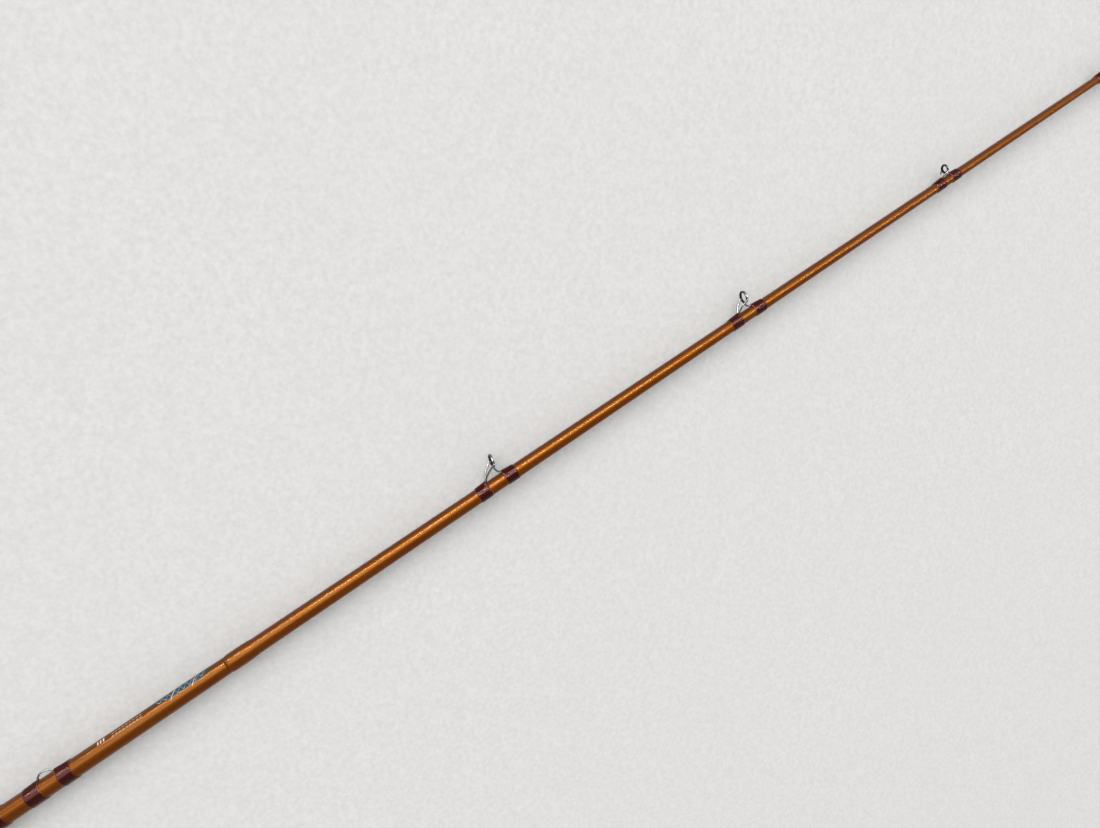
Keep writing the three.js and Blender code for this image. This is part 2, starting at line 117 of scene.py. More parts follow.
class Shade(Nodes):
    """One material's node tree, with short calls for the nodes that its pattern needs."""

    def __init__(self, name, **constants):
        self.material = bpy.data.materials.new(name)
        self.material.use_nodes = True
        super().__init__(self.material.node_tree)
        self.surface = self.tree.nodes["Principled BSDF"]
        for socket, value in constants.items():
            self.surface.inputs[socket.replace("_", " ")].default_value = value
        self.place = self.tree.nodes.new("ShaderNodeTexCoord").outputs["Object"]

    def scaled(self, x, y, z):
        return self.node("ShaderNodeMapping", Vector=self.place, Scale=(x, y, z)).outputs[0]

    def noise(self, where, scale, detail=4.0, rough=0.5):
        made = self.node("ShaderNodeTexNoise", Vector=where, Scale=scale, Detail=detail, Roughness=rough)
        return made.outputs["Fac"]

    def cells(self, where, scale):
        return self.node("ShaderNodeTexVoronoi", Vector=where, Scale=scale).outputs["Distance"]

    def ramp(self, value, *stops):
        made = self.node("ShaderNodeValToRGB", Fac=value)
        while len(made.color_ramp.elements) < len(stops):
            made.color_ramp.elements.new(0.5)
        for element, (position, colour) in zip(made.color_ramp.elements, stops):
            element.position = position
            element.color = (*colour, 1.0)
        return made.outputs["Color"]

    def level(self, value, low, high):
        made = self.node("ShaderNodeMapRange", Value=value)
        made.inputs["To Min"].default_value = low
        made.inputs["To Max"].default_value = high
        return made.outputs[0]

    def mix(self, factor, a, b):
        """Colour a turning into colour b as the factor rises."""
        made = self.node("ShaderNodeMix", {"data_type": "RGBA"})
        for index, value in ((0, factor), (6, a), (7, b)):
            self.feed(made.inputs[index], (*value, 1.0) if isinstance(value, tuple) else value)
        return made.outputs[2]

    def bump(self, height, depth_mm, strength=1.0):
        made = self.node("ShaderNodeBump", Height=height, Strength=strength, Distance=depth_mm * MM)
        return made.outputs["Normal"]

    def turn(self):
        """Turns round the rod's axis, from -0.5 to 0.5."""
        axes = self.node("ShaderNodeSeparateXYZ", Vector=self.place)
        return self.math("DIVIDE", self.math("ARCTAN2", axes.outputs["Z"], axes.outputs["Y"]), TAU)

    def along(self):
        return self.node("ShaderNodeSeparateXYZ", Vector=self.place).outputs["X"]

    def helix(self, pitch_mm):
        """A wave of 0 to 1 that winds round the rod once for each pitch."""
        turns = self.math("ADD", self.math("DIVIDE", self.along(), pitch_mm * MM), self.turn())
        return self.level(self.math("SINE", self.math("MULTIPLY", turns, TAU)), 0.5, 1.0)

    def finish(self, **links):
        for socket, value in links.items():
            self.feed(self.surface.inputs[socket.replace("_", " ")], value)
        return self.material


# ---- Finishes ----------------------------------------------------------------------

def amber_glass():
    """Varnished glass cloth: lengthwise fibres, a faint spiral left by the binding tape."""
    s = Shade(
        "amber_glass",
        IOR=1.5,
        Specular_IOR_Level=0.8,
        Specular_Tint=(1.0, 0.395, 0.032, 1),
        Coat_Weight=0.28,
        Coat_Roughness=0.12,
        Coat_IOR=1.4,
    )
    fibres = s.noise(s.scaled(60, 2600, 2600), 1.0, 3.0)
    cloud = s.noise(s.scaled(14, 120, 120), 1.0, 2.0)
    tape = s.helix(TAPE_PITCH)
    deep = s.ramp(fibres, (0.3, (0.048, 0.008, 0.0002)), (0.7, (0.098, 0.021, 0.0004)))
    tone = s.mix(s.level(cloud, 0.0, 0.35), deep, (0.125, 0.031, 0.0005))
    banded = s.mix(s.math("MULTIPLY", tape, 0.16), tone, (0.030, 0.004, 0.0001))
    return s.finish(
        Base_Color=banded,
        Roughness=s.level(fibres, 0.34, 0.46),
        Normal=s.bump(fibres, 0.006, 0.4),
    )


def wound_thread():
    """Maroon thread under varnish, painted darker in the grooves between turns as shade; the attribute
    fades to bare varnish at the ends.
    """
    s = Shade(
        "wound_thread",
        Specular_IOR_Level=0.25,
        Specular_Tint=(1.0, 0.09, 0.03, 1),
        Coat_Weight=0.65,
        Coat_Roughness=0.06,
        Coat_IOR=1.38,
    )
    cover = s.node("ShaderNodeAttribute", {"attribute_name": "thread_cover"}).outputs["Fac"]
    strand = s.helix(THREAD_PITCH)
    lint = s.noise(s.scaled(900, 260, 260), 1.0, 3.0)
    # Painted shade: the thread colour darkens in the grooves between turns, where shade falls, and lightens
    # on the ridges.
    groove_shaded_silk = s.ramp(strand, (0.0, (0.004, 0.0002, 0.0001)), (1.0, (0.026, 0.0008, 0.0003)))
    mottled = s.mix(s.level(lint, 0.0, 0.35), groove_shaded_silk, (0.040, 0.0018, 0.0007))
    edge = s.mix(cover, (0.14, 0.036, 0.006), mottled)
    return s.finish(
        Base_Color=edge,
        Roughness=s.level(strand, 0.42, 0.30),
        Normal=s.bump(s.math("MULTIPLY", strand, cover), 0.03, 0.5),
    )


def cork():
    """Cork rings: each ring its own tone, dark pores, thin glue lines."""
    s = Shade("cork_rings", Specular_IOR_Level=0.25)
    step = s.math("DIVIDE", s.along(), CORK_RING * MM)
    ring = s.math("FLOOR", step)
    tone = s.node("ShaderNodeTexWhiteNoise", {"noise_dimensions": "1D"}, W=ring).outputs["Value"]
    grain = s.noise(s.scaled(420, 420, 420), 1.0, 6.0, 0.62)
    flecks = s.cells(s.scaled(620, 240, 240), 1.0)
    pores = s.cells(s.scaled(210, 330, 330), 1.0)
    base = s.ramp(
        grain,
        (0.25, (0.33, 0.17, 0.075)),
        (0.55, (0.56, 0.345, 0.175)),
        (0.8, (0.68, 0.46, 0.26)),
    )
    toned = s.mix(s.level(tone, 0.0, 0.45), base, (0.45, 0.26, 0.13))
    speckled = s.mix(s.ramp(flecks, (0.08, (1, 1, 1)), (0.2, (0, 0, 0))), toned, (0.20, 0.085, 0.035))
    pitted = s.mix(s.ramp(pores, (0.05, (1, 1, 1)), (0.13, (0, 0, 0))), speckled, (0.07, 0.03, 0.014))
    seam = s.math("ABSOLUTE", s.math("SUBTRACT", s.math("FRACT", step), 0.5))
    glued = s.mix(s.ramp(seam, (0.488, (0, 0, 0)), (0.497, (0.75, 0.75, 0.75))), pitted, (0.16, 0.07, 0.03))
    height = s.math("MULTIPLY", s.math("MINIMUM", s.math("MULTIPLY", pores, 4.0), 1.0), grain)
    return s.finish(
        Base_Color=glued,
        Roughness=s.level(grain, 0.66, 0.92),
        Normal=s.bump(height, 0.35, 0.7),
    )


def moulded_rubber():
    s = Shade("moulded_rubber", Specular_IOR_Level=0.35)
    pebble = s.noise(s.scaled(1500, 1500, 1500), 1.0, 3.0)
    dust = s.noise(s.scaled(90, 90, 90), 1.0, 5.0)
    return s.finish(
        Base_Color=s.ramp(dust, (0.35, (0.016, 0.016, 0.017)), (0.75, (0.042, 0.040, 0.038))),
        Roughness=s.level(dust, 0.52, 0.78),
        Normal=s.bump(pebble, 0.05, 0.5),
    )


def anodised_black():
    """Black anodised alloy with lathe marks, worn towards bare metal in faint patches."""
    s = Shade("anodised_black", Metallic=1.0, Coat_Weight=0.25, Coat_Roughness=0.12)
    lathe = s.noise(s.scaled(5200, 30, 30), 1.0, 2.0)
    handling = s.noise(s.scaled(75, 75, 75), 1.0, 6.0, 0.6)
    worn = s.ramp(handling, (0.62, (0, 0, 0)), (0.8, (0.5, 0.5, 0.5)))
    return s.finish(
        Base_Color=s.mix(worn, (0.028, 0.028, 0.031), (0.13, 0.125, 0.12)),
        Roughness=s.level(lathe, 0.22, 0.38),
        Normal=s.bump(lathe, 0.01, 0.5),
    )


def bright_wire():
    s = Shade("bright_wire", Metallic=1.0)
    drawn = s.noise(s.scaled(700, 700, 700), 1.0, 4.0)
    return s.finish(
        Base_Color=s.ramp(drawn, (0.3, (0.17, 0.17, 0.175)), (0.7, (0.29, 0.29, 0.29))),
        Roughness=s.level(drawn, 0.26, 0.40),
        Normal=s.bump(drawn, 0.008, 0.4),
    )


def ring_ceramic():
    s = Shade("ring_ceramic", Specular_IOR_Level=0.25)
    fine = s.noise(s.scaled(1400, 1400, 1400), 1.0, 2.0)
    return s.finish(
        Base_Color=s.ramp(fine, (0.3, (0.006, 0.006, 0.007)), (0.7, (0.014, 0.013, 0.014))),
        Roughness=s.level(fine, 0.14, 0.22),
    )


def fibre_arbor():
    s = Shade("fibre_arbor", Specular_IOR_Level=0.2)
    paper = s.noise(s.scaled(300, 900, 900), 1.0, 5.0)
    return s.finish(
        Base_Color=s.ramp(paper, (0.3, (0.36, 0.28, 0.18)), (0.7, (0.58, 0.49, 0.35))),
        Roughness=s.level(paper, 0.7, 0.9),
        Normal=s.bump(paper, 0.1, 0.6),
    )


def transfer(name, light, dark):
    """A printed transfer under the varnish."""
    s = Shade(name, Specular_IOR_Level=0.2, Coat_Weight=0.25, Coat_Roughness=0.08)
    print_grain = s.noise(s.scaled(800, 800, 800), 1.0, 4.0)
    return s.finish(
        Base_Color=s.ramp(print_grain, (0.35, dark), (0.7, light)),
        Roughness=s.level(print_grain, 0.35, 0.5),
    )


def table_top():
    """Pale laminate with a soft mottle."""
    s = Shade("pale_table", Specular_IOR_Level=0.0)
    mottle = s.noise(s.scaled(340, 340, 340), 1.0, 4.0, 0.6)
    cloud = s.noise(s.scaled(7, 7, 7), 1.0, 2.0)
    speck = s.ramp(mottle, (0.3, (0.53, 0.528, 0.524)), (0.7, (0.62, 0.617, 0.612)))
    return s.finish(
        Base_Color=s.mix(s.level(cloud, 0.0, 0.4), speck, (0.55, 0.547, 0.547)),
        Roughness=s.level(mottle, 0.55, 0.75),
    )


AMBER = amber_glass()
THREAD = wound_thread()
CORK = cork()
RUBBER = moulded_rubber()
BLACK_ALLOY = anodised_black()
STEEL = bright_wire()
CERAMIC = ring_ceramic()
FIBRE = fibre_arbor()
BLUE_PRINT = transfer("blue_transfer", (0.02, 0.075, 0.12), (0.010, 0.04, 0.07))
CREAM_PRINT = transfer("cream_transfer", (0.78, 0.66, 0.46), (0.52, 0.40, 0.25))


# ---- Mesh building -----------------------------------------------------------------

def new_object(name, data):
    obj = bpy.data.objects.new(name, data)
    bpy.context.scene.collection.objects.link(obj)
    return obj


def mesh_object(name, points, faces, material, sharp_degrees=35):
    mesh = bpy.data.meshes.new(name)
    mesh.from_pydata([(x * MM, y * MM, z * MM) for x, y, z in points], [], faces)
    mesh.polygons.foreach_set("use_smooth", [True] * len(mesh.polygons))
    mesh.set_sharp_from_angle(angle=math.radians(sharp_degrees))
    mesh.materials.append(material)
    return new_object(name, mesh)


def revolve(name, outline, material, segments=96, radius_at=None, sharp_degrees=35):
    """A solid turned about the rod's axis. The outline of (x, radius) runs butt to tip
    outside and comes back inside, or starts and ends on the axis. radius_at(x, r, angle)
    may make a row other than round."""
    points, rows = [], []
    for x, r in outline:
        if r <= 0:
            rows.append([len(points)] * segments)
            points.append((x, 0, 0))
            continue
        rows.append(range(len(points), len(points) + segments))
        for j in range(segments):
            angle = TAU * (j + 0.5) / segments
            radius = radius_at(x, r, angle) if radius_at else r
            points.append((x, radius * math.cos(angle), radius * math.sin(angle)))
    if outline[0][1] > 0:
        rows.append(rows[0])
    faces = []
    for near, far in zip(rows, rows[1:]):
        for j in range(segments):
            k = (j + 1) % segments
            corners = (near[j], near[k], far[k], far[j])
            faces.append(tuple(dict.fromkeys(corners)))
    return mesh_object(name, points, faces, material, sharp_degrees)


def eased(outline, size, steps=4, closed=True):
    """The outline with each corner rounded off by up to size."""
    count = len(outline)
    result = []
    for i, corner in enumerate(outline):
        if not closed and i in (0, count - 1):
            result.append(corner)
            continue
        here = Vector(corner)
        before = Vector(outline[i - 1]) - here
        after = Vector(outline[(i + 1) % count]) - here
        start = here + before.normalized() * min(size, before.length * 0.45)
        end = here + after.normalized() * min(size, after.length * 0.45)
        for k in range(steps + 1):
            t = k / steps
            result.append(tuple(start * (1 - t) ** 2 + here * 2 * t * (1 - t) + end * t * t))
    return result


def stations(start, end, step):
    """Even places from start to end, about step apart."""
    count = max(1, round((end - start) / step))
    return [start + (end - start) * i / count for i in range(count + 1)]


def joined(name, parts, material):
    """Several meshes as one piece."""
    whole = bmesh.new()
    for part in parts:
        whole.from_mesh(part.data)
    mesh = bpy.data.meshes.new(name)
    whole.to_mesh(mesh)
    whole.free()
    mesh.materials.append(material)
    for part in parts:
        bpy.data.objects.remove(part)
    return new_object(name, mesh)


def place(piece, body, slot, *nodes):
    """Says what the piece moves with and hides the nodes it stands for; slot is not used."""
    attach(piece, body)
    if nodes:
        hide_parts(*nodes)


# ---- Geometry Nodes ----------------------------------------------------------------

class Grower(Nodes):
    """A Geometry Nodes tree that makes what repeats or follows a path."""

    def __init__(self, name, **inputs):
        super().__init__(bpy.data.node_groups.new(name, "GeometryNodeTree"))
        self.tree.interface.new_socket("Geometry", in_out="INPUT", socket_type="NodeSocketGeometry")
        for label, (kind, value) in inputs.items():
            socket = self.tree.interface.new_socket(label, in_out="INPUT", socket_type="NodeSocket" + kind)
            socket.default_value = value
        self.tree.interface.new_socket("Finish", in_out="INPUT", socket_type="NodeSocketMaterial")
        self.tree.interface.new_socket("Geometry", in_out="OUTPUT", socket_type="NodeSocketGeometry")
        self.given = self.tree.nodes.new("NodeGroupInput").outputs

    def close(self, geometry):
        real = self.node("GeometryNodeRealizeInstances", Geometry=geometry)
        coated = self.node("GeometryNodeSetMaterial", Geometry=real.outputs[0])
        self.feed(coated.inputs["Material"], self.given["Finish"])
        output = self.tree.nodes.new("NodeGroupOutput")
        self.tree.links.new(coated.outputs[0], output.inputs[0])
        return self.tree


def grow(source, tree, name, material, **settings):
    """Runs the tree on the source and keeps the result as a plain mesh piece."""
    modifier = source.modifiers.new("grow", "NODES")
    modifier.node_group = tree
    settings["Finish"] = material
    for item in tree.interface.items_tree:
        if item.in_out == "INPUT" and item.name in settings:
            modifier[item.identifier] = settings[item.name]
    graph = bpy.context.evaluated_depsgraph_get()
    mesh = bpy.data.meshes.new_from_object(source.evaluated_get(graph))
    source.modifiers.remove(modifier)
    bpy.data.objects.remove(source)
    mesh.name = name
    return new_object(name, mesh)


def thread_windings():
    """Raises a fine helical rib for each turn of thread, where thread_cover says so."""
    g = Grower("thread_windings", Pitch=("Float", THREAD_PITCH * MM), Rib=("Float", 0.012 * MM))
    cover = g.node("GeometryNodeInputNamedAttribute", {"data_type": "FLOAT"}, Name="thread_cover")
    axes = g.node("ShaderNodeSeparateXYZ", Vector=g.node("GeometryNodeInputPosition").outputs[0])
    angle = g.math("ARCTAN2", axes.outputs["Z"], axes.outputs["Y"])
    pitches = g.math("DIVIDE", axes.outputs["X"], g.given["Pitch"])
    turns = g.math("ADD", g.math("MULTIPLY", pitches, TAU), angle)
    rise = g.math("MULTIPLY", g.math("COSINE", turns), g.math("MULTIPLY", g.given["Rib"], cover.outputs[0]))
    offset = g.node("ShaderNodeVectorMath", {"operation": "SCALE"}, Scale=rise)
    g.feed(offset.inputs[0], g.node("GeometryNodeInputNormal").outputs[0])
    ribbed = g.node("GeometryNodeSetPosition", Geometry=g.given["Geometry"], Offset=offset.outputs[0])
    return g.close(ribbed.outputs[0])


def wire_along_path():
    """Round wire along each curve, closed at its ends."""
    g = Grower("wire_along_path", Radius=("Float", 0.5 * MM), Sides=("Int", 14))
    section = g.node("GeometryNodeCurvePrimitiveCircle", Resolution=g.given["Sides"])
    g.feed(section.inputs["Radius"], g.given["Radius"])
    wire = g.node("GeometryNodeCurveToMesh", Curve=g.given["Geometry"], Profile_Curve=section.outputs[0])
    wire.inputs["Fill Caps"].default_value = True
    return g.close(wire.outputs[0])


def screw_thread():
    """A helical thread round the barrel, cut off flat along the keyway."""
    g = Grower(
        "screw_thread",
        Start=("Float", 0.254), Length=("Float", 0.043), Root=("Float", 0.009),
        Crest=("Float", 0.0005), Pitch=("Float", 0.0015), Keyway=("Float", 0.008),
    )
    turns = g.math("DIVIDE", g.given["Length"], g.given["Pitch"])
    spiral = g.node("GeometryNodeCurveSpiral", Rotations=turns, Start_Radius=g.given["Root"],
                    End_Radius=g.given["Root"], Height=g.given["Length"])
    spiral.inputs["Resolution"].default_value = 64
    laid = g.node("GeometryNodeTransform", Geometry=spiral.outputs[0], Rotation=(0, math.pi / 2, 0))
    shift = g.node("ShaderNodeCombineXYZ", X=g.given["Start"])
    g.feed(laid.inputs["Translation"], shift.outputs[0])
    section = g.node("GeometryNodeCurvePrimitiveCircle", Resolution=6, Radius=g.given["Crest"])
    rib = g.node("GeometryNodeCurveToMesh", Curve=laid.outputs[0], Profile_Curve=section.outputs[0])
    rib.inputs["Fill Caps"].default_value = True
    axes = g.node("ShaderNodeSeparateXYZ", Vector=g.node("GeometryNodeInputPosition").outputs[0])
    low = g.math("MINIMUM", axes.outputs["Y"], g.given["Keyway"])
    held = g.node("ShaderNodeCombineXYZ", X=axes.outputs["X"], Y=low, Z=axes.outputs["Z"])
    cut = g.node("GeometryNodeSetPosition", Geometry=rib.outputs[0], Position=held.outputs[0])
    return g.close(cut.outputs[0])


def knurl_bars():
    """Grip bars set evenly round a nut."""
    g = Grower(
        "knurl_bars",
        Count=("Int", 36), Rim=("Float", 0.0109), Middle=("Float", 0.28),
        Length=("Float", 0.008), Bar=("Float", 0.00045),
    )
    rim = g.node("GeometryNodeMeshCircle", Vertices=g.given["Count"], Radius=g.given["Rim"])
    bar = g.node("GeometryNodeMeshCylinder", Vertices=8, Radius=g.given["Bar"], Depth=g.given["Length"])
    around = g.node("GeometryNodeInstanceOnPoints", Points=rim.outputs[0], Instance=bar.outputs[0])
    laid = g.node("GeometryNodeTransform", Geometry=around.outputs[0], Rotation=(0, math.pi / 2, 0))
    shift = g.node("ShaderNodeCombineXYZ", X=g.given["Middle"])
    g.feed(laid.inputs["Translation"], shift.outputs[0])
    both = g.node("GeometryNodeJoinGeometry")
    g.feed(both.inputs[0], laid.outputs[0])
    g.feed(both.inputs[0], g.given["Geometry"])
    return g.close(both.outputs[0])


WINDINGS = thread_windings()
WIRE = wire_along_path()
SCREW = screw_thread()
KNURL = knurl_bars()


# ---- Camera, light and table -------------------------------------------------------

# Places of the camera and lamps are in metres. The camera stands over the guides' side of
# the rod, with its right-hand side along CAMERA_RIGHT.
CAMERA_AT = Vector((0.713, 0.250, 0.494))
CAMERA_TARGET = Vector((0.805, 0.021, 0))
CAMERA_RIGHT = Vector((0.821, -0.444, 0.359))
CAMERA_LENS = 27.16
FILM_WIDTH = 36

WARM_LAMP = (1.0, 0.98, 0.95)
COOL_LAMP = (0.95, 0.975, 1.0)
WINDOW_LIGHT = (1.0, 0.985, 0.965)
ROOM_LIGHT = (0.985, 0.98, 0.98, 1)

TABLE_REACH = 4000


def camera():
    data = bpy.data.cameras.new("camera")
    data.lens = CAMERA_LENS
    data.sensor_width = FILM_WIDTH
    data.clip_start = 0.01
    obj = new_object("camera", data)
    back = (CAMERA_AT - CAMERA_TARGET).normalized()
    up = back.cross(CAMERA_RIGHT).normalized()
    axes = Matrix((up.cross(back), up, back)).transposed()
    obj.matrix_world = Matrix.Translation(CAMERA_AT) @ axes.to_4x4()
    bpy.context.scene.camera = obj


def strip_light(name, start, end, width, power, colour):
    """A rectangular lamp whose long side runs from start to end, turned to face the rod."""
    start, end = Vector(start), Vector(end)
    data = bpy.data.lights.new(name, "AREA")
    data.shape = "RECTANGLE"
    data.size, data.size_y = (end - start).length, width
    data.energy = power
    data.color = colour
    middle = (start + end) / 2
    along = (end - start).normalized()
    away = (middle - Vector((middle.x, 0, 0))).normalized()
    away = (away - along * away.dot(along)).normalized()
    axes = Matrix((along, away.cross(along), away)).transposed()
    obj = new_object(name, data)
    obj.matrix_world = Matrix.Translation(middle) @ axes.to_4x4()
    return obj


def far_window(direction, strength, spread_degrees):
    """Even light from a broad source far away on the guides' side."""
    data = bpy.data.lights.new("far_window", "SUN")
    data.energy = strength
    data.angle = math.radians(spread_degrees)
    data.color = WINDOW_LIGHT
    obj = new_object("far_window", data)
    obj.rotation_euler = Vector(direction).to_track_quat("Z", "Y").to_euler()


def studio():
    """Two lamps that only put streaks on the varnish, and soft light on everything."""
    long = strip_light("long_lamp", (-1.2, 2.35, 0.15), (3.8, 0.9, 2.0), 0.22, 15, WARM_LAMP)
    thin = strip_light("thin_lamp", (-0.6, 2.2, 0.2), (3.2, -0.45, 2.3), 0.05, 74, WARM_LAMP)
    for streak_lamp in (long, thin):
        streak_lamp.visible_diffuse = False
    strip_light("wide_soft", (-0.9, 1.3, 1.9), (2.9, 0.9, 1.9), 1.4, 8, COOL_LAMP)
    far_window((-0.10, 0.66, 0.72), 2.4, 50)
    world = bpy.data.worlds.new("soft_room")
    world.use_nodes = True
    background = world.node_tree.nodes["Background"]
    background.inputs["Color"].default_value = ROOM_LIGHT
    background.inputs["Strength"].default_value = 0.50
    bpy.context.scene.world = world
    view = bpy.context.scene.view_settings
    view.view_transform = "Standard"
    view.look = "Medium High Contrast"


def table():
    """The top, at the height where the butt cap, the widest piece, touches it."""
    low, _ = span("butt_cap")
    near, far = -TABLE_REACH, TABLE_REACH
    corners = [(near, near, low.z), (far, near, low.z), (far, far, low.z), (near, far, low.z)]
    mesh_object("table", corners, [(0, 1, 2, 3)], table_top())


# ---- Blanks and ferrule ------------------------------------------------------------

BLANK_STEP = 12
BLANK_LIP = 0.15
SMALLEST_BORE = 0.6

# The spigot is glued into the butt section and slides into the tip section's socket.
SOCKET_RADIUS = 4.23
SOCKET_DEPTH = 64
GLUED_DEPTH = 50
SPIGOT_PLAY = 0.08
SPIGOT_TAPER = 0.05

# The hoop swells fast after the seam and runs out slowly towards the tip.
HOOP_CROWN = 0.42
CROWN_START = 0.12
CROWN_END = 0.55


def blank(name, start, end, holds_spigot, body, node):
    """A hollow tapered tube, open at both ends."""
    outside = [(x, blank_radius(x)) for x in stations(start, end, BLANK_STEP)]
    if holds_spigot:
        inside = [
            (end, SOCKET_RADIUS),
            (end - GLUED_DEPTH, SOCKET_RADIUS),
            (start, blank_radius(start) - BLANK_WALL),
        ]
    else:
        inside = [
            (end, max(blank_radius(end) - BLANK_WALL, SMALLEST_BORE)),
            (start + SOCKET_DEPTH, SOCKET_RADIUS),
            (start, SOCKET_RADIUS),
        ]
    first, last = outside[0][1], outside[-1][1]
    outline = [
        (start + BLANK_LIP, first),
        *outside[1:-1],
        (end - BLANK_LIP, last),
        (end, last - BLANK_LIP),
        *inside,
        (start, first - BLANK_LIP),
    ]
    place(revolve(name, outline, AMBER), body, "glass_amber", node)


def ferrule():
    low, high = span("ferrule_spigot")
    radius = SOCKET_RADIUS - SPIGOT_PLAY
    plug = [(low.x, 0), (low.x, radius), (high.x, radius - SPIGOT_TAPER), (high.x, 0)]
    outline = eased(plug, 0.9, closed=False)
    place(revolve("spigot_plug", outline, AMBER), "handle", "glass_amber", "ferrule_spigot")
    low, high = span("ferrule_hoop")
    inner = blank_radius(low.x) + 0.02

    def swell(x):
        t = (x - low.x) / (high.x - low.x)
        grown = min(1, t / CROWN_START) ** 0.5
        spent = max(0, (t - CROWN_END) / (1 - CROWN_END)) ** 2
        return inner + HOOP_CROWN * grown * (1 - spent)

    outside = [(x, swell(x)) for x in stations(low.x, high.x, 0.5)]
    outline = [*outside, (high.x, blank_radius(high.x) + 0.01), (low.x, inner - 0.01)]
    hoop = revolve("ferrule_binding", outline, AMBER, sharp_degrees=50)
    place(hoop, "tip_section", "glass_amber", "ferrule_hoop")


# ---- Thread wraps ------------------------------------------------------------------

WRAP_BODY = 0.42
WRAP_SEGMENTS = 72
ROWS_PER_TURN = 5
VARNISH_LIP = 0.75
VARNISH_EDGE = 0.03
COVER_FADE = 0.3
SUNK = 0.02

# A foot is hammered thinner and narrower towards its end, by these parts of its size, and
# the thread settles back onto the blank within FOOT_RUN_OUT past the end.
FOOT_THINNING = 0.66
FOOT_NARROWING = 0.25
FOOT_RUN_OUT = 1.2


def foot_tent(radius, rise, half_width, angle):
    """Radius of thread pulled tight over a foot that stands rise above the blank."""
    if rise < 0.01:
        return radius
    angle = abs(angle)
    top = radius + rise
    shoulder = math.atan2(half_width, top)
    touch = shoulder + math.acos(radius / math.hypot(top, half_width))
    if angle <= shoulder:
        return top / math.cos(angle)
    if angle < touch:
        return radius / math.cos(touch - angle)
    return radius


def wrap(name, node, body, foot=None):
    """One wrap. foot is (root x, end x, height, half width) of what it binds down."""
    low, high = span(node)
    start, end = low.x - VARNISH_LIP / 2, high.x + VARNISH_LIP / 2

    def ease(x):
        inset = min(x - start, end - x) / VARNISH_LIP
        return math.sqrt(max(0.0, 1 - (1 - min(1.0, inset)) ** 2))

    def rise(x):
        if not foot:
            return 0.0
        root, tip, height, _ = foot
        t = (x - root) / (tip - root)
        ramp = 1.0 if t < 0 else 1 - FOOT_THINNING * t
        past = max(0.0, (t - 1) * abs(tip - root) / FOOT_RUN_OUT)
        return max(0.0, height * ramp * (1 - past))

    def radius_at(x, r, angle):
        if r < blank_radius(x) + 0.02:
            return r
        turn = angle if angle < math.pi else angle - TAU
        half_width = foot[3] if foot else 0
        return foot_tent(r, rise(x), half_width, turn)

    xs = stations(start, end, THREAD_PITCH / ROWS_PER_TURN)
    outside = [(x, blank_radius(x) + VARNISH_EDGE + WRAP_BODY * ease(x)) for x in xs]
    outline = [*outside, (end, blank_radius(end) - SUNK), (start, blank_radius(start) - SUNK)]
    piece = revolve(name + "_core", outline, THREAD, WRAP_SEGMENTS, radius_at, 60)
    cover = piece.data.attributes.new("thread_cover", "FLOAT", "POINT")
    for i, (x, _) in enumerate(outline):
        inside = min(x - low.x, high.x - x)
        value = max(0.0, min(1.0, inside / COVER_FADE + 0.5)) if i < len(xs) else 0.0
        for j in range(WRAP_SEGMENTS):
            cover.data[i * WRAP_SEGMENTS + j].value = value
    place(grow(piece, WINDINGS, name, THREAD), body, "thread_maroon", node)


# ---- Wire guides -------------------------------------------------------------------

# A black ring sits in a bright hoop, and both lean towards the tip. One leg holds the hoop
# at its lowest point, and two more at LEG_ANGLE on each side of it.
RING_LEAN = math.radians(14)
RING_WALL = 1.1
RING_HALF_WIDTH = 0.85
RING_SHOULDER = 0.7
RING_LAND = 0.22
RING_FLATS = 16
HOOP_WALL = 0.28
HOOP_HALF_WIDTH = 0.55
LEG_ANGLE = math.radians(72)
LEG_GRIP = 0.3
WELD_SIZE = 0.56

KEEPER_WIRE = 1.1
TIP_WIRE = 1.0
TIP_TUBE_LENGTH = 15
TIP_TUBE_WALL = 0.5
TIP_WELD = 0.55


def smooth_path(points, steps=10):
    """A curve through the points, as Catmull-Rom spans."""
    ends = [points[0], *points, points[-1]]
    path = []
    for a, b, c, d in zip(ends, ends[1:], ends[2:], ends[3:]):
        a, b, c, d = Vector(a), Vector(b), Vector(c), Vector(d)
        for k in range(steps):
            t = k / steps
            path.append(((2 * b) + (c - a) * t + (2 * a - 5 * b + 4 * c - d) * t * t
                         + (3 * b - a - 3 * c + d) * t ** 3) / 2)
    path.append(Vector(points[-1]))
    return path


def bent_wires(name, paths, diameter):
    curve = bpy.data.curves.new(name, "CURVE")
    curve.dimensions = "3D"
    for path in paths:
        spline = curve.splines.new("POLY")
        spline.points.add(len(path) - 1)
        for point, at in zip(spline.points, path):
            point.co = (*(at * MM), 1)
    wires = grow(new_object(name, curve), WIRE, name, STEEL, Radius=diameter / 2 * MM)
    wires.data.polygons.foreach_set("use_smooth", [True] * len(wires.data.polygons))
    return wires


def leaning_ring(name, outline, x, y, material):
    """A turned ring, tipped towards the tip and centred at (x, y)."""
    ring = revolve(name, outline, material, 72)
    tip = Matrix.Translation((x * MM, y * MM, 0)) @ Matrix.Rotation(-RING_LEAN, 4, "Z")
    ring.data.transform(tip)
    return ring


def foot_size(wire):
    """Height and half width of a foot hammered from the wire."""
    return wire * 0.8, wire * 0.62


